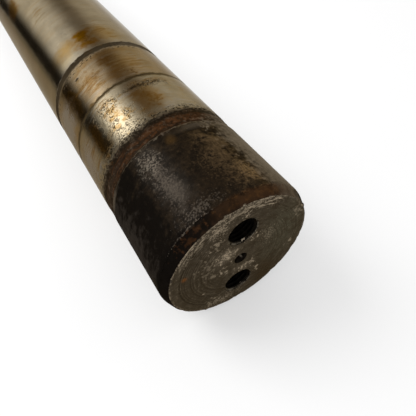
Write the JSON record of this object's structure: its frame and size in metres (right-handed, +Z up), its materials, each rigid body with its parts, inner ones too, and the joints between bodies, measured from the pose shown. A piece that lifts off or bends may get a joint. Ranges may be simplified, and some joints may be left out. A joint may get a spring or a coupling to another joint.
{
  "type": "excavator pin",
  "caption": "Round ground-steel pivot pin with worn, rusted bands, tapered ends and tapped keeper-plate holes in one end; it joins a bucket or arm of an excavator.",
  "frame": {"origin": "on the floor under the middle of the pin, which lies on its side", "axes": "+Y along the pin's axis, from the tapped front end to the plain back end; +Z up; the tapped holes stand one above the other"},
  "size_m": [0.08, 0.5, 0.08],
  "materials": {
    "pin_steel": "ground steel, polished and stained by use, black-brown at the ends, with bands of rust"
  },
  "bodies": {
    "root": {"pin": "pin_steel"}
  },
  "joints": []
}
